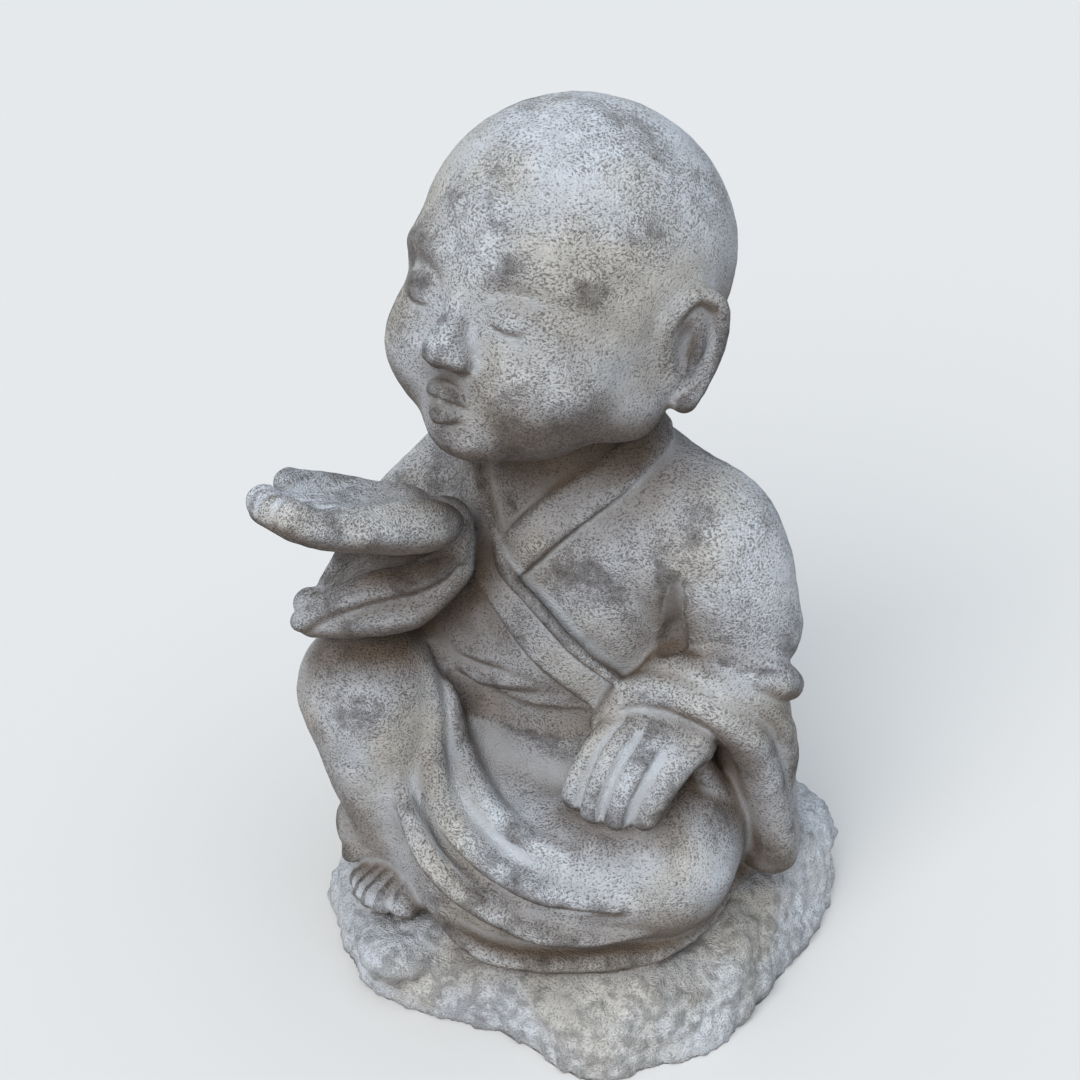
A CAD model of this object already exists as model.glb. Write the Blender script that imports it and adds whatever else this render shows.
"""Looks of a seated child monk: a cast-stone garden figurine on its rock, whitewashed over a dark coat."""

import math

import bmesh
import bpy
import numpy as np
from mathutils import Matrix, Vector, noise


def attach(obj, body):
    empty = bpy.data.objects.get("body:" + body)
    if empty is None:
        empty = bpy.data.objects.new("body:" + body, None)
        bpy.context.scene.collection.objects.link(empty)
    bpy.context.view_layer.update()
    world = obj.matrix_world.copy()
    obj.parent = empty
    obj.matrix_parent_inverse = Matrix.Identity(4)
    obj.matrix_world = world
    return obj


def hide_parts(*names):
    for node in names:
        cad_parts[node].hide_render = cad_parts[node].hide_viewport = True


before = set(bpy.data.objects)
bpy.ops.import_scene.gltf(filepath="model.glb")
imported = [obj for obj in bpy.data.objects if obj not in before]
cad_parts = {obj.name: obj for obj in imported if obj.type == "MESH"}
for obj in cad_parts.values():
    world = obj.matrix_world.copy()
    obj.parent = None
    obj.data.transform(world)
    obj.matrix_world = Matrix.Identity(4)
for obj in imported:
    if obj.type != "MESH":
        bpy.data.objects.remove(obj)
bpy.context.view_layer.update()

bl_info = {
    "name": "Seated Figurine",
    "version": (1, 0, 0),
    "blender": (4, 5, 0),
    "location": "View3D > Sidebar > Figurine",
    "description": "Finishes a cast-stone garden figurine and sets its stage",
    "category": "Object",
}

NODE = "figurine"
BODY = "root"
MM = 0.001
TINY = 1e-6
SIDES = (1, -1)
MOST_TRIANGLES = 199000

# How far a form is felt outside its box, and the depth given beyond that, in millimetres
REACH = 26.0
FAR = 1.0e3

# Fillets between clay forms, in millimetres, from the soft body to the crisp carving
BODY_FILLET = 20.0
LIMB_FILLET = 14.0
WAIST_FILLET = 7.0
FOLD_FILLET = 5.0
FEATURE_FILLET = 5.0
CLOTH_FILLET = 2.5
CARVED_FILLET = 2.2
CUT_FILLET = 1.2
CREASE_SLOPE = 0.85

# How the fine surface is worked, with gaps and steps in millimetres
ROCK_GAP = (1.5, 4.0)
UNDERSIDE = 0.4
ROCK_SWEEPS = 6
ROCK_EASE = 0.5
CLAY_SWEEPS = 5
CLAY_STEP = 2.0
CLAY_PULL = 0.9
SOFT_SWEEPS = 3
SOFT_EASE = 0.25
MOST_MOVE = 3.5
SEAM_HEIGHTS = (66, 56)
SEAM_SPREAD = 4
SEAM_FADE = 0.9
SEAM_SWEEPS = 12
SEAM_EASE = 0.6
EDGE_SWEEPS = 8

# Unevenness of rock and clay: lump size in millimetres, share of the height and seed
ROCK_LUMPS = ((9.0, 1.0, 1), (4.0, 0.6, 2))
CLAY_LUMPS = ((13.0, 1.0, 3), (5.0, 0.7, 4))

# Where the wash gathers: feeling heights over the skin in millimetres, and what counts as in full
GROOVE_HEIGHTS = (2.5, 5.0)
GROOVE_SHARE = (0.1, 0.45)
SHELTER_HEIGHTS = (18.0, 40.0)
SKYWARD_PULL = (0, 0, 1.1)
OVERHANG_SLOPE = (-0.3, 0.55)
OVERHANG_STAIN = 0.9

# Grain of the finish, in lumps to the metre, with its reach and depth in metres
STIPPLE = 1200.0
GRAIN = 1700.0
CLUMPS = 190.0
PATCHES = 27.0
TINTS = 16.0
SWIRLS = 60.0
SWIRL_REACH = 0.006
RELIEF_DEPTH = 0.0032

# Where the wash is gone: noise levels between which a pit, a worn spot or a warm tint comes in
WORN_LIMITS = (-0.10, 0.16)
PIT_LEVELS = (0.53, 0.36)
SPOT_LEVELS = (0.635, 0.72)
TINT_LEVELS = (0.42, 0.68)
GROOVE_LEVELS = (0.9, 0.15)

# How much of the coat shows in a pit and in a spot, how much less of it on rock, and the pooled wash
PIT_SHARE = 0.70
SPOT_SHARE = 0.85
ROCK_BARE = -0.35
ROCK_STAIN = -0.65
POOL_SHARE = 0.6

# Dullness of stone and floor
STONE_ROUGHNESS = 0.93
STONE_SHINE = 0.25
FLOOR_ROUGHNESS = 0.9

# Stage: floor half width in metres, and each sun's place, strength, colour and spread in degrees
FLOOR_REACH = 6.0
FLOOR_COLOUR = (0.565, 0.55, 0.535, 1)
SKY_COLOUR = (0.84, 0.92, 1.0, 1)
SUNS = {
    "overcast": ((0.35, -0.25, 2.0), 1.5, (0.80, 0.90, 1.0), 60),
    "front": ((0.5, -1.9, 1.6), 2.9, (0.98, 0.97, 0.95), 45),
}
SUN_AIM = (0, 0, 0.2)
FRAME_WIDTH = 36.0
NEAR_CLIP = 0.01


class FigurineShape(bpy.types.PropertyGroup):
    """Sizes of the casting's finer surface."""

    cell: bpy.props.FloatProperty(
        name="Surface Cell",
        description="Cell of the fine surface before it is thinned",
        default=0.0014,
        min=0.0008,
        unit="LENGTH",
    )
    triangles: bpy.props.IntProperty(
        name="Triangles",
        description="Triangles of the finished casting",
        default=190000,
        min=20000,
        max=MOST_TRIANGLES,
    )
    rock_relief: bpy.props.FloatProperty(
        name="Rock Relief",
        description="Height of the rock's finer lumps",
        default=0.0028,
        unit="LENGTH",
    )
    clay_relief: bpy.props.FloatProperty(
        name="Clay Relief",
        description="Height of the soft unevenness on skin and cloth",
        default=0.0004,
        unit="LENGTH",
    )


class FigurineFinish(bpy.types.PropertyGroup):
    """Colours of the whitewash and of the coat under it."""

    wash: bpy.props.FloatVectorProperty(
        name="Whitewash",
        description="Pale wash that lies in hollows and on quiet faces",
        default=(0.69, 0.715, 0.765),
        subtype="COLOR",
    )
    wash_warm: bpy.props.FloatVectorProperty(
        name="Warm Wash",
        description="Beige tint of the wash in patches",
        default=(0.64, 0.615, 0.575),
        subtype="COLOR",
    )
    pool: bpy.props.FloatVectorProperty(
        name="Pooled Wash",
        description="Thick wash that has run into the grooves",
        default=(0.76, 0.81, 0.88),
        subtype="COLOR",
    )
    stain: bpy.props.FloatVectorProperty(
        name="Stain",
        description="Brown stain where the casting is sheltered from above",
        default=(0.16, 0.12, 0.09),
        subtype="COLOR",
    )
    coat: bpy.props.FloatVectorProperty(
        name="Under Coat",
        description="Dark coat that shows where the wash is rubbed off",
        default=(0.05, 0.036, 0.03),
        subtype="COLOR",
    )


class FigurineStage(bpy.types.PropertyGroup):
    """Camera, floor and light."""

    eye: bpy.props.FloatVectorProperty(
        name="Camera Place",
        description="Where the camera stands",
        default=(0.450, -0.5362, 0.610),
        subtype="XYZ",
    )
    aim: bpy.props.FloatVectorProperty(
        name="Camera Aim",
        description="Point in the middle of the picture",
        default=(-0.025, 0.020, 0.190),
        subtype="XYZ",
    )
    lens: bpy.props.FloatProperty(
        name="Lens",
        description="Focal length on a 36 mm frame",
        default=58.87,
        unit="CAMERA",
    )
    sky: bpy.props.FloatProperty(
        name="Sky Light",
        description="Strength of the light from all round",
        default=0.58,
    )


class Form:
    """A clay form: the signed distance to its surface in millimetres, negative inside, and its box."""

    def __init__(self, low, high, distance):
        self.low = np.array(low, float)
        self.high = np.array(high, float)
        self.distance = distance

    def __call__(self, points):
        near = np.all((points > self.low - REACH) & (points < self.high + REACH), axis=1)
        depth = np.full(len(points), FAR)
        if near.any():
            depth[near] = self.distance(points[near])
        return depth


def soft_min(a, b, fillet):
    share = np.maximum(fillet - np.abs(a - b), 0.0) / fillet
    return np.minimum(a, b) - share * share * fillet / 4


def soft_max(a, b, fillet):
    return -soft_min(-a, -b, fillet)


def turning(turn):
    x, y, z = (math.radians(angle) for angle in turn)
    spin = Matrix.Rotation(x, 3, "X") @ Matrix.Rotation(y, 3, "Y") @ Matrix.Rotation(z, 3, "Z")
    return np.array(spin)


def put(form, centre, turn=(0, 0, 0)):
    """A form turned by degrees about X, Y and Z and then set at a place."""
    spin = turning(turn)
    centre = np.array(centre, float)
    corners = np.array([[x, y, z] for x in (0, 1) for y in (0, 1) for z in (0, 1)])
    corners = (form.low + corners * (form.high - form.low)) @ spin.T + centre
    return Form(corners.min(0), corners.max(0), lambda p: form((p - centre) @ spin))


def mirrored(form):
    flip = np.array([-1.0, 1.0, 1.0])
    low, high = form.low * flip, form.high * flip
    return Form(np.minimum(low, high), np.maximum(low, high), lambda p: form(p * flip))


def egg(centre, radii, turn=(0, 0, 0)):
    """An ellipsoid."""
    radii = np.array(radii, float)

    def distance(p):
        scaled = p / radii
        reach = np.sqrt((scaled * scaled).sum(1))
        slope = np.sqrt(((scaled / radii) ** 2).sum(1))
        return reach * (reach - 1) / np.maximum(slope, TINY)

    return put(Form(-radii, radii, distance), centre, turn)


def bend(points, steps):
    """Stations on the smooth curve through the points, with the radius carried along in column 3."""
    points = np.array(points, float)
    ends = 2 * points[[0, -1]] - points[[1, -2]]
    path = np.vstack([ends[:1], points, ends[1:]])
    stations = []
    for i in range(len(points) - 1):
        p0, p1, p2, p3 = path[i : i + 4, :3]
        gaps = [math.sqrt(np.linalg.norm(b - a)) for a, b in ((p0, p1), (p1, p2), (p2, p3))]
        d0, d1, d2 = (max(gap, 0.01) for gap in gaps)
        leave = ((p1 - p0) / d0 - (p2 - p0) / (d0 + d1) + (p2 - p1) / d1) * d1
        arrive = ((p2 - p1) / d1 - (p3 - p1) / (d1 + d2) + (p3 - p2) / d2) * d1
        for step in range(steps if i < len(points) - 2 else steps + 1):
            t = step / steps
            place = p1 + t * leave + t * t * (3 * (p2 - p1) - 2 * leave - arrive)
            place = place + t**3 * (2 * (p1 - p2) + leave + arrive)
            radius = points[i, 3] + t * (points[i + 1, 3] - points[i, 3])
            stations.append([*place, radius])
    return np.array(stations)


def roll(points, steps=4):
    """A roll of clay along a smooth curve, each point given as (x, y, z, radius)."""
    stations = bend(points, steps)
    spread = stations[:, 3:4]

    def distance(p):
        best = np.full(len(p), FAR)
        for a, b in zip(stations[:-1], stations[1:]):
            along = b[:3] - a[:3]
            t = np.clip(((p - a[:3]) @ along) / (along @ along), 0, 1)
            gap = np.linalg.norm(p - a[:3] - t[:, None] * along, axis=1)
            np.minimum(best, gap - a[3] - t * (b[3] - a[3]), out=best)
        return best

    return Form((stations[:, :3] - spread).min(0), (stations[:, :3] + spread).max(0), distance)


def press(fillet, *forms):
    """Forms pressed together, with fillets between them."""

    def distance(p):
        depth = np.full(len(p), FAR)
        for form in forms:
            depth = soft_min(depth, form(p), fillet)
        return depth

    low = np.min([form.low for form in forms], axis=0)
    high = np.max([form.high for form in forms], axis=0)
    return Form(low - fillet / 4, high + fillet / 4, distance)


def carve(fillet, body, *cuts):
    """A form with others cut out of it, with the cut edges rounded."""

    def distance(p):
        depth = body(p)
        for cut in cuts:
            depth = soft_max(depth, -cut(p), fillet)
        return depth

    return Form(body.low, body.high, distance)


def lift(height, fillet, body, region):
    """The part of a form's skin inside a region, raised by a height."""
    return Form(region.low, region.high, lambda p: soft_max(body(p) - height, region(p), fillet))


def crease(body, *lines, slope=CREASE_SLOPE):
    """A form with creases pressed into its skin along rolls that lie in it."""

    def distance(p):
        depth = body(p)
        for line in lines:
            depth = depth + slope * np.maximum(-line(p), 0)
        return depth

    return Form(body.low, body.high, distance)


def clay_legs():
    hips = egg((4, 28, 104), (70, 52, 62))
    skirt = egg((4, 26, 56), (90, 72, 50))
    right_thigh = roll([(-36, 14, 96, 38), (-48, -32, 120, 34), (-55, -62, 136, 31)], 8)
    right_drape = egg((-44, -22, 80), (34, 54, 50), (0, 0, 12))
    right_shin = roll([(-56, -68, 137, 32), (-45, -69, 100, 28), (-38, -63, 62, 23)], 10)
    left_thigh = roll([(44, 32, 84, 42), (68, 2, 84, 39), (76, -18, 80, 36)], 8)
    left_shin = roll([(76, -20, 78, 36), (44, -50, 72, 33), (6, -60, 62, 28)], 8)
    lap = egg((6, -22, 68), (50, 42, 38))
    apron = egg((-8, -62, 66), (28, 23, 38))
    apron_front = egg((22, -64, 56), (42, 24, 20), (0, 0, 14))
    front = press(LIMB_FILLET, right_thigh, right_shin, left_thigh, left_shin, lap, apron, apron_front)
    trail = roll([(-56, -72, 60, 13), (-66, -60, 48, 19), (-70, -30, 48, 18)])
    return press(BODY_FILLET, press(LIMB_FILLET, front, trail), hips, skirt, right_drape)


def clay_hem():
    line = [
        (-53, -85, 51),
        (-47, -82, 55),
        (-38, -79, 58),
        (-26, -78, 58),
        (-10, -81, 55),
        (4, -85, 51),
        (19, -89, 47),
        (34, -89, 44),
        (54, -80, 43),
        (79, -59, 43),
        (94, -38, 44),
        (99, -14, 46),
        (94, 16, 48),
        (90, 46, 48),
        (66, 82, 48),
        (20, 97, 48),
        (-36, 90, 48),
        (-72, 60, 48),
        (-82, 20, 50),
        (-76, -30, 52),
        (-68, -68, 45),
        (-53, -85, 51),
    ]
    edge = roll([(1.02 * x, 1.02 * y, z, 5) for x, y, z in line])
    lining = roll([(0.9 * x + 1, 0.9 * y, z - 1, 10) for x, y, z in line])
    return press(CARVED_FILLET, edge, lining)


def clay_folded(robe):
    upper = [
        (-30, -43, 153, 2.5),
        (-20, -49, 141, 4),
        (-16, -51, 126, 5),
        (-12, -51, 109, 6),
        (2, -57, 100, 6.5),
        (21, -64, 98, 6.5),
        (44, -69, 99, 5),
        (64, -64, 98, 2.5),
    ]
    middle = [
        (-29, -57, 156, 2.5),
        (-22, -60, 139, 4.5),
        (-19, -64, 121, 5.5),
        (-11, -71, 105, 6.5),
        (3, -76, 94, 7),
        (21, -80, 90, 7),
        (39, -81, 87, 7),
        (58, -78, 84, 6.5),
        (74, -68, 81, 5),
        (88, -59, 79, 2.5),
    ]
    lower = [
        (-24, -83, 108, 2.5),
        (-12, -87, 92, 5),
        (2, -90, 81, 6.5),
        (17, -91, 75, 7),
        (32, -89, 70, 7),
        (45, -86, 67, 7),
        (60, -79, 62, 6.5),
        (77, -63, 58, 5),
        (93, -47, 60, 2.5),
    ]
    lines = (upper, middle, lower)
    grooves = [
        [(x, y - 0.6 * (r + 1), z - 0.8 * (r + 1), 0.9 * (r - 2.2)) for x, y, z, r in line]
        for line in lines
    ]
    ridged = press(FOLD_FILLET, robe, *[roll(line) for line in lines])
    return crease(ridged, *[roll(line) for line in grooves])


def clay_foot():
    instep = egg((-28, -66, 46), (21, 24, 14))
    tips = [
        (-13, -92, 46, 8),
        (-23, -97, 45, 6.5),
        (-30, -98, 44.5, 6),
        (-37, -96, 44, 5.8),
        (-43, -92, 43.5, 5.4),
    ]
    toes = [roll([(x + 2, y + 20, z + 5, r), (x, y, z, r)], 2) for x, y, z, r in tips]
    gaps = []
    for near, far in zip(tips[:-1], tips[1:]):
        x, y, z, r = (np.array(near) + np.array(far)) / 2
        top = z + 0.75 * r
        over = [(x + 2, y + 16, top + 4, 1.2), (x, y + 2, top, 3.2)]
        round_tip = [(x, y - 4.5, z + 2, 3.2), (x, y - 5, z - 4, 1.5)]
        gaps.append(roll([*over, *round_tip]))
    return crease(press(CARVED_FILLET, instep, *toes), *gaps)


def clay_torso():
    belly = egg((4, 14, 130), (64, 46, 50))
    chest = egg((0, 14, 190), (64, 46, 60))
    shoulders = roll([(-60, 6, 220, 25), (0, 18, 226, 34), (64, 20, 224, 27)])
    neck = roll([(0, 14, 238, 34), (0, 6, 262, 32)])
    right_side = egg((-34, -14, 178), (30, 26, 38))
    left_shoulder = roll([(20, 30, 240, 23), (50, 30, 232, 23), (68, 26, 222, 25)], 8)
    left_upper_arm = roll([(70, 26, 220, 26), (81, 26, 204, 28), (87, 27, 186, 27)], 8)
    return press(BODY_FILLET, belly, chest, shoulders, neck, right_side, left_shoulder, left_upper_arm)


def clay_crossing(body):
    under_line = [
        (-6, -33, 204, 9),
        (8, -29, 222, 10),
        (24, -20, 242, 10),
        (37, 2, 258, 10),
        (36, 24, 265, 10),
        (0, 44, 264, 10),
        (-36, 24, 263, 10),
        (-36, 0, 254, 10),
    ]
    over_line = [
        (-36, 12, 260, 9),
        (-27, -18, 240, 10),
        (-12, -31, 214, 10.5),
        (6, -33, 192, 10.5),
        (26, -29, 173, 10.5),
        (48, -20, 156, 10),
    ]
    edge_line = [
        (-6, -33, 219, 2),
        (3, -37, 210, 3),
        (19, -36, 199, 3),
        (38, -30, 180, 3),
        (60, -20, 162, 2),
    ]
    fullness = egg((0, -11, 163), (43, 26, 24))
    belt = roll([(-30, -19, 128, 6), (8, -21, 124, 6), (48, -11, 127, 6)])
    panel = press(WAIST_FILLET, body, fullness, belt)
    under = lift(4, CARVED_FILLET, panel, roll(under_line))
    over = lift(5.5, CARVED_FILLET, panel, roll(over_line))
    pleats = [
        roll([(-36, -36, 168, 5), (-24, -35, 160, 6), (-6, -33, 160, 5.5), (8, -30, 163, 4)]),
        roll([(-26, -38, 150, 5), (-15, -34, 147, 6.5), (0, -31, 149, 6), (14, -29, 152, 4)]),
    ]
    return press(CARVED_FILLET, panel, under, over, roll(edge_line), *pleats)


def clay_left_arm():
    fore = roll([(86, 28, 156, 24), (80, 8, 148, 19), (70, -10, 144, 14)])
    hanging = roll([(96, 24, 142, 17), (99, 28, 104, 16), (103, 38, 62, 14)])
    trail = roll([(86, 42, 152, 15), (91, 49, 104, 14), (96, 52, 60, 12)])
    cuff_line = [
        (50, -24, 142, 6),
        (58, -18, 157, 8),
        (73, -13, 164, 9),
        (91, -7, 164, 10),
        (105, 2, 152, 10),
        (108, 14, 130, 10),
        (110, 22, 104, 10),
        (111, 31, 74, 10),
        (108, 40, 58, 9),
    ]
    second_line = [
        (56, -10, 156, 5),
        (68, -4, 168, 8),
        (83, -1, 174, 9.5),
        (97, 2, 172, 10),
        (106, 11, 163, 9.5),
        (110, 23, 146, 8.5),
        (112, 31, 122, 7),
        (110, 36, 98, 4),
    ]
    third_line = [
        (84, 2, 186, 5),
        (95, 4, 184, 7.5),
        (105, 10, 178, 9.5),
        (110, 20, 170, 10),
        (109, 33, 160, 8),
    ]
    inner = roll([(90, -4, 126, 6), (96, 10, 102, 6), (100, 26, 70, 6)])
    lining = press(CLOTH_FILLET, egg((62, -2, 150), (15, 20, 17)), egg((68, 6, 166), (15, 14, 14)))
    cloth = press(LIMB_FILLET, hanging, trail)
    rolls = [roll(line) for line in (cuff_line, second_line, third_line)]
    return press(CLOTH_FILLET, fore, cloth, *rolls, inner, lining)


def clay_left_hand():
    back = egg((77, -12, 142), (23, 22, 16), (-14, 0, 0))
    lines = [
        [(60, -18, 147, 8), (58, -37, 139, 7), (55.5, -46, 127, 6.5), (54.5, -49, 118, 6)],
        [(71, -19, 150, 8), (69, -39, 141, 7.5), (67, -47, 127, 7), (66, -50, 117, 6.5)],
        [(82, -18, 150, 8), (81, -36, 141, 7.5), (78, -44, 127, 7), (77, -47, 117, 6.5)],
        [(93, -13, 146, 8), (92, -29, 138, 7.5), (89, -37, 126, 7), (87, -40, 118, 6.5)],
    ]
    rises = ((0, -1.5, 5.5, 1.5), (0, -3.5, 4.5, 2.8), (0, -5, 1.5, 2.8), (0, -5, -3, 2))
    gaps = []
    for near, far in zip(lines[:-1], lines[1:]):
        middle = (np.array(near) + np.array(far)) / 2
        middle[:, 3] = 0
        gaps.append(roll(middle + np.array(rises)))
    return crease(press(CARVED_FILLET, back, *[roll(line) for line in lines]), *gaps)


def clay_right_arm():
    upper = roll([(-60, 4, 218, 26), (-68, -18, 200, 27), (-64, -38, 186, 25)])
    fore = roll([(-62, -40, 186, 25), (-42, -48, 204, 21), (-23, -51, 220, 16), (-17, -54, 233, 13)])
    bag = roll([(-14, -54, 212, 10), (-30, -66, 194, 13), (-50, -80, 187, 12), (-66, -90, 181, 8)])
    far_panel = roll([(-46, -54, 212, 13), (-56, -62, 202, 13), (-60, -70, 188, 12)])
    opening = roll([(-16, -62, 222, 8), (-40, -76, 208, 8), (-60, -86, 195, 5)])
    near_line = [
        (-10, -52, 232, 5),
        (-9, -58, 222, 6.5),
        (-18, -68, 213, 7),
        (-35, -79, 206, 7),
        (-52, -89, 196, 6),
        (-66, -97, 184, 5),
    ]
    far_rim = roll([(-42, -60, 222, 5), (-58, -72, 212, 5), (-63, -76, 202, 5), (-67, -81, 190, 5)])
    tip = egg((-69, -88, 188), (8, 8, 7))
    sleeve = carve(CLOTH_FILLET, press(WAIST_FILLET, upper, fore, bag, far_panel), opening)
    under_rim = roll([(x + 4, y - 4, z - 7.5, 0.4 * r) for x, y, z, r in near_line])
    return crease(press(CARVED_FILLET, sleeve, roll(near_line), far_rim, tip), under_rim)


def clay_creases():
    armpit = [(77, -6, 230, 1), (75, -6, 217, 4.5), (73, -3, 205, 6.5), (71, 2, 190, 8), (69, 1, 180, 8)]
    under_arm = [
        (78, -3, 184, 3),
        (96, -2, 189, 5),
        (105, 3, 187, 5),
        (112, 9, 184, 2.5),
        (117, 18, 178, 0.5),
    ]
    waist = [
        (-34, -47, 160, 3),
        (-25, -46, 150, 6),
        (-18, -41, 138, 8),
        (-8, -36, 132, 9),
        (8, -34, 131, 9),
        (26, -30, 134, 9),
        (42, -23, 140, 6),
    ]
    return [roll(line) for line in (armpit, under_arm, waist)]


def clay_right_hand():
    palm = egg((0, -45, 0), (26, 42, 12.5))
    thumb_pad = egg((-13, -26, 3), (12, 22, 11))
    heel_pad = egg((14, -26, 2), (11, 22, 11))
    hollow = egg((-1, -46, 18), (14, 26, 11))
    fingers = []
    for i in (-1.5, -0.5, 0.5, 1.5):
        x = 10.5 * i
        fingers.append(roll([(x, -56, 0, 8.5), (x, -74, 1, 8), (0.95 * x, -88 + 3 * abs(i), 5, 7.5)]))
    thumb = roll([(-20, -28, 4, 9), (-29, -50, 7, 8), (-27, -67, 10, 7)])
    cupped = carve(WAIST_FILLET, press(WAIST_FILLET, palm, thumb_pad, heel_pad), hollow)
    gaps = []
    for x in (-10.5, 0, 10.5):
        over = [(x, -52, 8, 1), (x, -70, 8, 2.8), (x, -86, 10, 3.2)]
        round_tip = [(x, -92.5, 5.5, 3), (x, -88, -2, 2.2), (x, -74, -6.5, 1)]
        gaps.append(roll([*over, *round_tip]))
    thumb_gap = roll([(-14, -34, 12, 1), (-19, -50, 13, 2.8), (-20, -64, 12, 3.2), (-19, -74, 10, 2)])
    life_line = roll([(-13, -46, 9, 0.8), (-4, -40, 7.5, 1.6), (-6, -24, 11, 0.8)])
    heart_line = roll([(-15, -54, 9, 0.8), (-2, -58, 8, 1.6), (13, -52, 10, 0.8)])
    whole = crease(press(CLOTH_FILLET, cupped, *fingers, thumb), *gaps, thumb_gap, life_line, heart_line)
    return put(whole, (-13, -51, 235), (-18, -6, -20))


def clay_face():
    lids = [egg((25 * s, -51, -9), (14.5, 10, 9), (0, 0, 24 * s)) for s in SIDES]
    brow_lines = [roll([(9 * s, -58, 8, 2), (25 * s, -57, 13, 3), (43 * s, -44, 9, 2)]) for s in SIDES]
    bridge = roll([(0, -58, 2, 5), (0, -64, -14, 6), (0, -70, -26, 7.5)])
    wings = [egg((7.5 * s, -65, -29), (5.5, 6, 5)) for s in SIDES]
    return [*lids, *brow_lines, bridge, *wings]


def clay_lips():
    upper = roll([(-10, -59, -46, 2.5), (-4, -65, -43, 4), (4, -65, -43, 4), (10, -59, -46, 2.5)])
    lower = roll([(-8, -58, -51, 2.5), (0, -64, -52.5, 5), (8, -58, -51, 2.5)])
    return [upper, lower]


def clay_ear():
    shell = egg((0, 0, 0), (6, 15, 24))
    hollow = egg((8, -1, 1), (7, 8, 13))
    rim = [
        (2, -12, -4, 3.5),
        (4, -12, 12, 4),
        (5, 0, 23, 4),
        (5, 12, 17, 4),
        (4, 14, 2, 4),
        (3, 9, -14, 4),
        (2, 1, -23, 6),
    ]
    inner = roll([(3, 3, 14, 2.5), (4, 5, 3, 3), (3, 1, -9, 2.5)])
    whole = press(CARVED_FILLET, carve(CARVED_FILLET, shell, hollow), roll(rim), inner)
    return put(whole, (62, 8, -13), (10, 0, -20))


def clay_head():
    cranium = egg((0, 9, 13), (66, 70, 64))
    mask = egg((0, -18, -20), (54, 44, 51))
    jaw = egg((0, -25, -42), (43, 34, 31))
    cheeks = [egg((28 * s, -36, -32), (25, 24, 23)) for s in SIDES]
    brows = [roll([(10 * s, -53, 5, 4), (26 * s, -51, 10, 4), (42 * s, -41, 7, 3.5)]) for s in SIDES]
    chin = egg((0, -47, -63), (15, 12, 10))
    ear_roots = [egg((45 * s, 0, -36), (16, 20, 22)) for s in SIDES]
    sockets = [egg((24 * s, -69, -4), (17, 12, 10), (0, 0, 22 * s)) for s in SIDES]
    mass = press(LIMB_FILLET, cranium, mask, jaw, *cheeks, *brows, chin, *ear_roots)
    ear = clay_ear()
    whole = press(FEATURE_FILLET, carve(FEATURE_FILLET, mass, *sockets), *clay_face(), ear, mirrored(ear))
    whole = press(CLOTH_FILLET, whole, *clay_lips())
    nostrils = [egg((4.5 * s, -71, -34), (2.2, 3, 2.6)) for s in SIDES]
    breath = egg((0, -71, -47.5), (3.8, 6, 2.4))
    lines = [
        roll([(-9, -61, -48.5, 0.8), (0, -68, -47.5, 2), (9, -61, -48.5, 0.8)]),
        roll([(-9, -60, -57, 0.8), (0, -64, -59, 3), (9, -60, -57, 0.8)]),
        roll([(0, -68, -35, 1.2), (0, -67, -39, 1.8)]),
    ]
    for s in SIDES:
        lines.append(roll([(12 * s, -59.5, -11, 1.2), (25 * s, -61, -15, 2.2), (38 * s, -51.5, -11, 1.2)]))
        lines.append(roll([(12 * s, -60, -3.5, 0.8), (24 * s, -60.5, 1, 1.8), (38 * s, -50.5, -3, 0.8)]))
        lines.append(roll([(11 * s, -67, -23, 0.8), (13.5 * s, -64, -29, 1.8), (10 * s, -64, -35, 0.8)]))
    return put(crease(carve(CUT_FILLET, whole, *nostrils, breath), *lines), (0, 4, 334), (-14, 0, 0))


def clay_figure():
    robe = clay_folded(clay_crossing(press(LIMB_FILLET, clay_legs(), clay_torso())))
    arms = [clay_left_arm(), clay_left_hand(), clay_right_arm(), clay_right_hand()]
    return crease(press(CARVED_FILLET, robe, clay_hem(), clay_foot(), *arms, clay_head()), *clay_creases())


def smooth_step(value, low, high):
    t = np.clip((value - low) / (high - low), 0, 1)
    return t * t * (3 - 2 * t)


def vertex_array(mesh, field):
    values = np.empty(len(mesh.vertices) * 3, np.float32)
    mesh.vertices.foreach_get(field, values)
    return values.reshape(-1, 3).astype(float)


def set_places(mesh, places):
    mesh.vertices.foreach_set("co", places.astype(np.float32).ravel())
    mesh.update()


def edge_ends(mesh):
    ends = np.empty(len(mesh.edges) * 2, np.int32)
    mesh.edges.foreach_get("vertices", ends)
    return ends.reshape(-1, 2)


def neighbour_mean(values, ends):
    """Mean of each vertex's neighbours."""
    count = np.bincount(ends.ravel(), minlength=len(values)).astype(float)
    total = np.zeros_like(values)
    np.add.at(total, ends[:, 0], values[ends[:, 1]])
    np.add.at(total, ends[:, 1], values[ends[:, 0]])
    return total / np.maximum(count, 1).reshape((-1,) + (1,) * (values.ndim - 1))


def noise_field(points, size, seed):
    """Smooth noise between about -1 and 1 at points in millimetres, with lumps of the given size."""
    offset = Vector((seed * 17.3, seed * 5.1, seed * 9.7))
    return np.array([noise.noise(Vector(p) / size + offset) for p in points])


def write_attribute(mesh, name, values):
    attribute = mesh.attributes.new(name, "FLOAT", "POINT")
    attribute.data.foreach_set("value", values.astype(np.float32))


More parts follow.
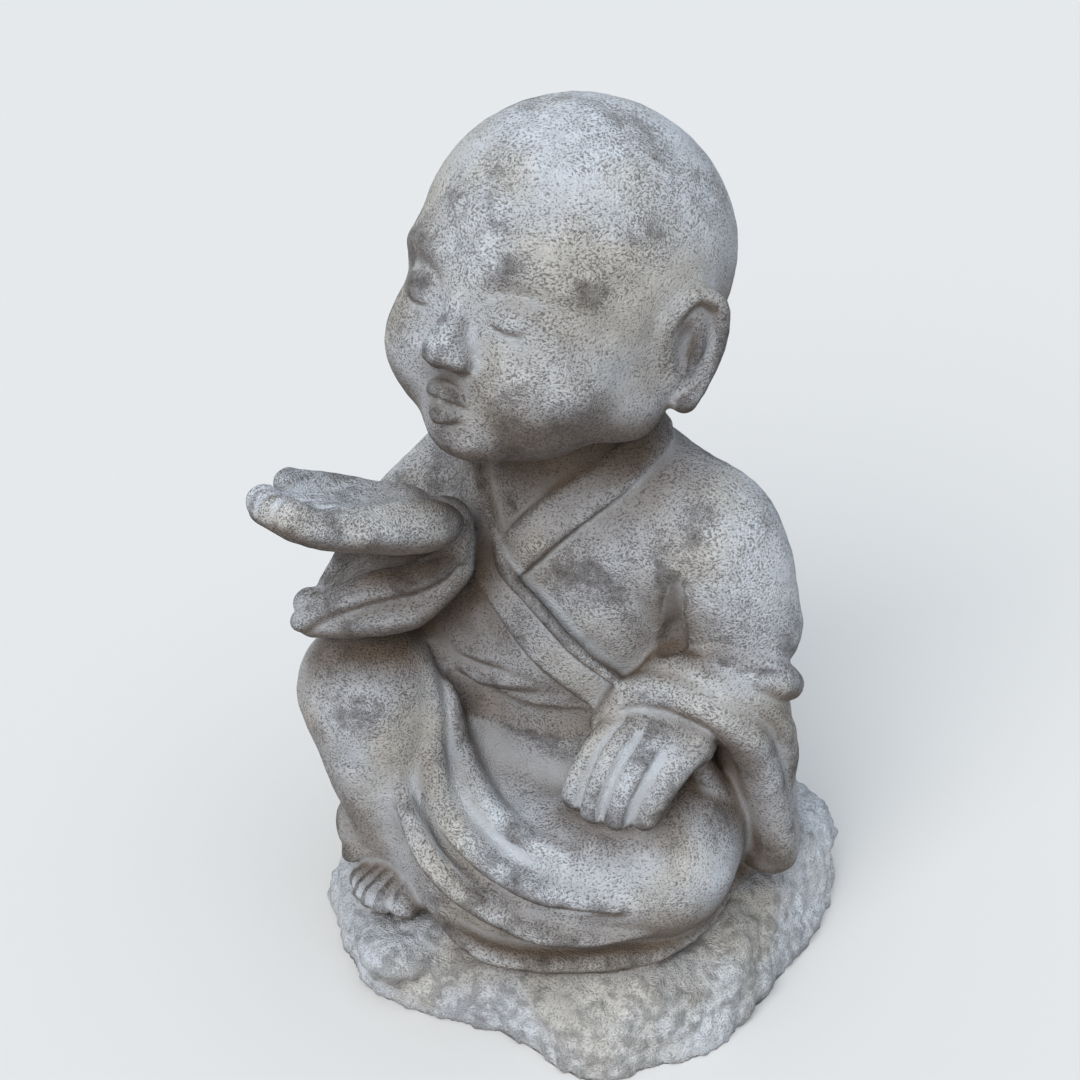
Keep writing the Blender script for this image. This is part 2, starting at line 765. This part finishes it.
def fine_copy(cell):
    """The CAD solid as one merged mesh on a fine even grid."""
    work = bmesh.new()
    work.from_mesh(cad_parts[NODE].data)
    bmesh.ops.remove_doubles(work, verts=work.verts, dist=TINY)
    mesh = bpy.data.meshes.new("casting")
    work.to_mesh(mesh)
    work.free()
    casting = bpy.data.objects.new("casting", mesh)
    bpy.context.scene.collection.objects.link(casting)
    remesh = casting.modifiers.new("even grid", "REMESH")
    remesh.mode = "VOXEL"
    remesh.voxel_size = cell
    remesh.use_smooth_shade = True
    bake_modifiers(casting)
    return casting


def bake_modifiers(piece):
    bpy.context.view_layer.update()
    evaluated = piece.evaluated_get(bpy.context.evaluated_depsgraph_get())
    mesh = bpy.data.meshes.new_from_object(evaluated)
    old = piece.data
    piece.modifiers.clear()
    piece.data = mesh
    bpy.data.meshes.remove(old)


def ease(places, ends, share):
    """Places moved by a share towards the mean of their neighbours."""
    return places + share[:, None] * (neighbour_mean(places, ends) - places)


def follow_clay(mesh, figure, start, ends, clay):
    """Places moved onto the clay forms, by no more than the solid's facets and the carving need."""
    places = start
    for sweep in range(CLAY_SWEEPS):
        set_places(mesh, places * MM)
        depth = np.clip(figure(places), -CLAY_STEP, CLAY_STEP)
        places = places - (clay * depth * CLAY_PULL)[:, None] * vertex_array(mesh, "normal")
        if sweep < SOFT_SWEEPS:
            places = ease(places, ends, SOFT_EASE * clay)
        move = places - start
        length = np.linalg.norm(move, axis=1, keepdims=True)
        places = start + move * np.minimum(1, MOST_MOVE / np.maximum(length, TINY))
    return places


def smooth_seam(places, ends, seam, free):
    """Places eased along the seam between figure and rock."""
    for sweep in range(SEAM_SPREAD):
        seam = np.maximum(seam, SEAM_FADE * neighbour_mean(seam, ends))
    for sweep in range(SEAM_SWEEPS):
        places = ease(places, ends, SEAM_EASE * seam * free)
    return places


def unevenness(places, lumps):
    """Noise of several lump sizes laid over each other, at places in millimetres."""
    return sum(share * noise_field(places, size, seed) for size, share, seed in lumps)


def sculpt(mesh, shape):
    """Moves the fine surface onto the clay forms, roughens the rock and marks where the wash gathers."""
    figure = clay_figure()
    ends = edge_ends(mesh)
    places = vertex_array(mesh, "co") / MM
    rock = smooth_step(figure(places), *ROCK_GAP)
    clay = 1 - rock
    free = places[:, 2] >= UNDERSIDE
    for sweep in range(ROCK_SWEEPS):
        places = ease(places, ends, ROCK_EASE * rock * free)
    seam = smooth_step(places[:, 2], *SEAM_HEIGHTS) * np.clip(4 * rock * clay, 0, 1)
    places = follow_clay(mesh, figure, places, ends, clay)
    places = smooth_seam(places, ends, seam, free)
    set_places(mesh, places * MM)
    mark_wash(mesh, figure, places, rock)
    height = rock * shape.rock_relief * unevenness(places, ROCK_LUMPS)
    height += clay * shape.clay_relief * unevenness(places, CLAY_LUMPS)
    places = places + (np.where(free, height, 0) / MM)[:, None] * vertex_array(mesh, "normal")
    places[:, 2] = np.maximum(places[:, 2], 0.0)
    set_places(mesh, places * MM)


def mark_wash(mesh, figure, places, rock):
    """Writes where the casting is rock, where the wash pools and where it is sheltered from above."""
    normals = vertex_array(mesh, "normal")
    skyward = normals + np.array(SKYWARD_PULL)
    skyward /= np.maximum(np.linalg.norm(skyward, axis=1, keepdims=True), TINY)
    groove = smooth_step(closeness(figure, places, normals, GROOVE_HEIGHTS), *GROOVE_SHARE)
    sheltered = closeness(figure, places, skyward, SHELTER_HEIGHTS)
    overhang = OVERHANG_STAIN * smooth_step(-normals[:, 2], *OVERHANG_SLOPE)
    write_attribute(mesh, "rock", rock)
    write_attribute(mesh, "groove", (1 - rock) * groove)
    write_attribute(mesh, "shelter", np.maximum(sheltered, overhang))


def closeness(figure, places, ways, heights):
    """How much the figure closes in at each height along each vertex's way, from 0 to 1."""
    total = np.zeros(len(places))
    for height in heights:
        total += np.clip(1 - figure(places + height * ways) / height, 0, 1)
    return total / len(heights)


def bulge(mesh, sweeps):
    """How far each vertex stands out of its surroundings, in millimetres; more sweeps, wider patch."""
    ends = edge_ends(mesh)
    places = vertex_array(mesh, "co") / MM
    normals = vertex_array(mesh, "normal")
    around = places
    for sweep in range(sweeps):
        around = neighbour_mean(around, ends)
    return ((places - around) * normals).sum(1)


def triangle_count(mesh):
    mesh.calc_loop_triangles()
    return len(mesh.loop_triangles)


class FIGURINE_OT_cast(bpy.types.Operator):
    """Cast the figurine and its rock as one finely carved, whitewashed piece"""

    bl_idname = "figurine.cast"
    bl_label = "Cast Figurine"

    def execute(self, context):
        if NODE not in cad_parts:
            raise RuntimeError(f"The frame has no solid named {NODE}")
        shape = context.scene.figurine_shape
        casting = fine_copy(shape.cell)
        sculpt(casting.data, shape)
        write_attribute(casting.data, "edge", bulge(casting.data, EDGE_SWEEPS))
        count = triangle_count(casting.data)
        if count > shape.triangles:
            thin = casting.modifiers.new("thin", "DECIMATE")
            thin.ratio = shape.triangles / count
            bake_modifiers(casting)
        if not 0 < triangle_count(casting.data) <= MOST_TRIANGLES:
            raise RuntimeError("The casting's fine surface is empty or too heavy")
        casting.data.polygons.foreach_set("use_smooth", [True] * len(casting.data.polygons))
        casting.data.materials.clear()
        casting.data.materials.append(whitewashed_stone(context.scene.figurine_finish))
        casting.name = "figurine_casting"
        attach(casting, BODY)
        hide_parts(NODE)
        return {"FINISHED"}


class NodeSheet:
    """A material's node tree with short calls to add and link nodes."""

    def __init__(self, material):
        material.use_nodes = True
        self.tree = material.node_tree
        self.tree.nodes.clear()

    def add(self, kind, **settings):
        node = self.tree.nodes.new(kind)
        for name, value in settings.items():
            setattr(node, name, value)
        return node

    def link(self, source, target):
        self.tree.links.new(source, target)

    def math(self, operation, *values):
        node = self.add("ShaderNodeMath", operation=operation)
        for socket, value in zip(node.inputs, values):
            if isinstance(value, (int, float)):
                socket.default_value = value
            else:
                self.link(value, socket)
        return node.outputs[0]

    def ramp(self, value, low, high):
        node = self.add("ShaderNodeMapRange", interpolation_type="SMOOTHSTEP")
        self.link(value, node.inputs["Value"])
        node.inputs["From Min"].default_value = low
        node.inputs["From Max"].default_value = high
        return node.outputs["Result"]

    def noise(self, vector, scale, detail, roughness):
        node = self.add("ShaderNodeTexNoise")
        self.link(vector, node.inputs["Vector"])
        node.inputs["Scale"].default_value = scale
        node.inputs["Detail"].default_value = detail
        node.inputs["Roughness"].default_value = roughness
        return node.outputs["Fac"]

    def brushed(self, vector, scale, amount):
        """Coordinates stretched along a brush stroke and swirled by soft noise."""
        stretch = self.add("ShaderNodeMapping")
        stretch.inputs["Rotation"].default_value = (0.35, 0.25, 0.0)
        stretch.inputs["Scale"].default_value = (0.75, 0.75, 1.0)
        self.link(vector, stretch.inputs["Vector"])
        swirl = self.add("ShaderNodeTexNoise")
        swirl.inputs["Scale"].default_value = scale
        swirl.inputs["Detail"].default_value = 1.0
        self.link(vector, swirl.inputs["Vector"])
        shift = self.add("ShaderNodeVectorMath", operation="MULTIPLY_ADD")
        shift.inputs[1].default_value = (amount, amount, amount)
        self.link(swirl.outputs["Color"], shift.inputs[0])
        self.link(stretch.outputs["Vector"], shift.inputs[2])
        return shift.outputs["Vector"]

    def attribute(self, name):
        return self.add("ShaderNodeAttribute", attribute_name=name).outputs["Fac"]

    def surface(self, roughness):
        shader = self.add("ShaderNodeBsdfPrincipled")
        shader.inputs["Roughness"].default_value = roughness
        output = self.add("ShaderNodeOutputMaterial")
        self.link(shader.outputs["BSDF"], output.inputs["Surface"])
        return shader

    def mix(self, share, a, b):
        node = self.add("ShaderNodeMix", data_type="RGBA")
        self.link(share, node.inputs["Factor"])
        for socket, value in ((node.inputs["A"], a), (node.inputs["B"], b)):
            if hasattr(value, "default_value"):
                self.link(value, socket)
            else:
                socket.default_value = (*value, 1.0)
        return node.outputs["Result"]


def whitewashed_stone(finish):
    """Pale wash over a dark coat: it pools in grooves, misses small pits and is rubbed off high spots."""
    material = bpy.data.materials.new("whitewashed_stone")
    sheet = NodeSheet(material)
    place = sheet.add("ShaderNodeTexCoord").outputs["Object"]
    brushed = sheet.brushed(place, SWIRLS, SWIRL_REACH)
    rock = sheet.attribute("rock")
    groove = sheet.attribute("groove")
    stipple = sheet.noise(brushed, STIPPLE, 3.0, 0.64)
    grain = sheet.noise(place, GRAIN, 1.0, 0.5)
    clumps = sheet.noise(brushed, CLUMPS, 3.0, 0.6)
    patches = sheet.noise(place, PATCHES, 3.0, 0.6)
    worn = sheet.math("MULTIPLY_ADD", patches, 0.8, -0.405)
    worn = sheet.math("MULTIPLY_ADD", sheet.attribute("edge"), 0.18, worn)
    worn = sheet.math("MAXIMUM", worn, WORN_LIMITS[0])
    worn = sheet.math("MINIMUM", worn, WORN_LIMITS[1])
    pits = sheet.ramp(sheet.math("MULTIPLY_ADD", worn, -0.5, stipple), *PIT_LEVELS)
    pits = sheet.math("MULTIPLY", pits, PIT_SHARE)
    spots = sheet.math("MULTIPLY_ADD", clumps, 0.3, sheet.math("MULTIPLY", stipple, 0.7))
    spots = sheet.ramp(sheet.math("ADD", spots, worn), *SPOT_LEVELS)
    spots = sheet.math("MULTIPLY", spots, SPOT_SHARE)
    bare = sheet.math("MAXIMUM", pits, spots)
    bare = sheet.math("MULTIPLY", bare, sheet.ramp(groove, *GROOVE_LEVELS))
    bare = sheet.math("MULTIPLY", bare, sheet.math("MULTIPLY_ADD", rock, ROCK_BARE, 1.0))
    stained = sheet.math("MULTIPLY_ADD", rock, ROCK_STAIN, 1.0)
    shelter = sheet.math("MULTIPLY", sheet.attribute("shelter"), stained)
    tint = sheet.ramp(sheet.noise(place, TINTS, 2.0, 0.5), *TINT_LEVELS)
    wash = sheet.mix(tint, tuple(finish.wash), tuple(finish.wash_warm))
    wash = sheet.mix(sheet.math("MULTIPLY", groove, POOL_SHARE), wash, tuple(finish.pool))
    wash = sheet.mix(shelter, wash, tuple(finish.stain))
    colour = sheet.mix(bare, wash, tuple(finish.coat))
    relief = sheet.math("MULTIPLY_ADD", grain, 0.3, stipple)
    relief = sheet.math("MULTIPLY_ADD", clumps, sheet.math("MULTIPLY_ADD", rock, 0.5, 0.7), relief)
    bump = sheet.add("ShaderNodeBump")
    bump.inputs["Strength"].default_value = 1.0
    bump.inputs["Distance"].default_value = RELIEF_DEPTH
    sheet.link(relief, bump.inputs["Height"])
    shader = sheet.surface(STONE_ROUGHNESS)
    shader.inputs["Specular IOR Level"].default_value = STONE_SHINE
    sheet.link(colour, shader.inputs["Base Color"])
    sheet.link(bump.outputs["Normal"], shader.inputs["Normal"])
    return material


def pale_floor():
    material = bpy.data.materials.new("pale_floor")
    sheet = NodeSheet(material)
    shader = sheet.surface(FLOOR_ROUGHNESS)
    shader.inputs["Base Color"].default_value = FLOOR_COLOUR
    return material


def lay_floor(scene):
    work = bmesh.new()
    bmesh.ops.create_grid(work, x_segments=1, y_segments=1, size=FLOOR_REACH)
    mesh = bpy.data.meshes.new("floor")
    work.to_mesh(mesh)
    work.free()
    floor = bpy.data.objects.new("floor", mesh)
    scene.collection.objects.link(floor)
    mesh.materials.append(pale_floor())


def hang_lights(scene, strength):
    """Even light from all round and the wide suns, each turned towards the figurine's middle."""
    world = bpy.data.worlds.new("soft_sky")
    world.use_nodes = True
    background = world.node_tree.nodes["Background"]
    background.inputs["Color"].default_value = SKY_COLOUR
    background.inputs["Strength"].default_value = strength
    scene.world = world
    for name, (place, power, colour, spread) in SUNS.items():
        light = bpy.data.lights.new(name, "SUN")
        light.energy = power
        light.color = colour
        light.angle = math.radians(spread)
        lamp = bpy.data.objects.new(name, light)
        scene.collection.objects.link(lamp)
        lamp.location = place
        look_at(lamp, SUN_AIM)
    scene.view_settings.view_transform = "Standard"


def look_at(thing, target):
    gaze = Vector(target) - thing.location
    thing.rotation_euler = gaze.to_track_quat("-Z", "Y").to_euler()


class FIGURINE_OT_stage(bpy.types.Operator):
    """Set the floor, the soft light and the camera"""

    bl_idname = "figurine.stage"
    bl_label = "Set Stage"

    def execute(self, context):
        scene = context.scene
        stage = scene.figurine_stage
        if Vector(stage.eye) == Vector(stage.aim):
            raise RuntimeError("The camera stands on the point that it looks at")
        lay_floor(scene)
        hang_lights(scene, stage.sky)
        camera = bpy.data.objects.new("camera", bpy.data.cameras.new("camera"))
        scene.collection.objects.link(camera)
        camera.data.lens = stage.lens
        camera.data.sensor_width = FRAME_WIDTH
        camera.data.clip_start = NEAR_CLIP
        camera.location = stage.eye
        look_at(camera, stage.aim)
        scene.camera = camera
        return {"FINISHED"}


class FIGURINE_PT_sidebar(bpy.types.Panel):
    bl_label = "Seated Figurine"
    bl_space_type = "VIEW_3D"
    bl_region_type = "UI"
    bl_category = "Figurine"

    def draw(self, context):
        for group in (context.scene.figurine_shape, context.scene.figurine_finish):
            for name in group.__annotations__:
                self.layout.prop(group, name)
        self.layout.operator(FIGURINE_OT_cast.bl_idname)
        for name in context.scene.figurine_stage.__annotations__:
            self.layout.prop(context.scene.figurine_stage, name)
        self.layout.operator(FIGURINE_OT_stage.bl_idname)


GROUPS = {
    "figurine_shape": FigurineShape,
    "figurine_finish": FigurineFinish,
    "figurine_stage": FigurineStage,
}
CLASSES = (*GROUPS.values(), FIGURINE_OT_cast, FIGURINE_OT_stage, FIGURINE_PT_sidebar)


def register():
    for item in CLASSES:
        bpy.utils.register_class(item)
    for name, group in GROUPS.items():
        setattr(bpy.types.Scene, name, bpy.props.PointerProperty(type=group))


def unregister():
    for name in GROUPS:
        delattr(bpy.types.Scene, name)
    for item in reversed(CLASSES):
        bpy.utils.unregister_class(item)


def main():
    register()
    bpy.ops.figurine.cast()
    bpy.ops.figurine.stage()


if __name__ == "__main__":
    main()
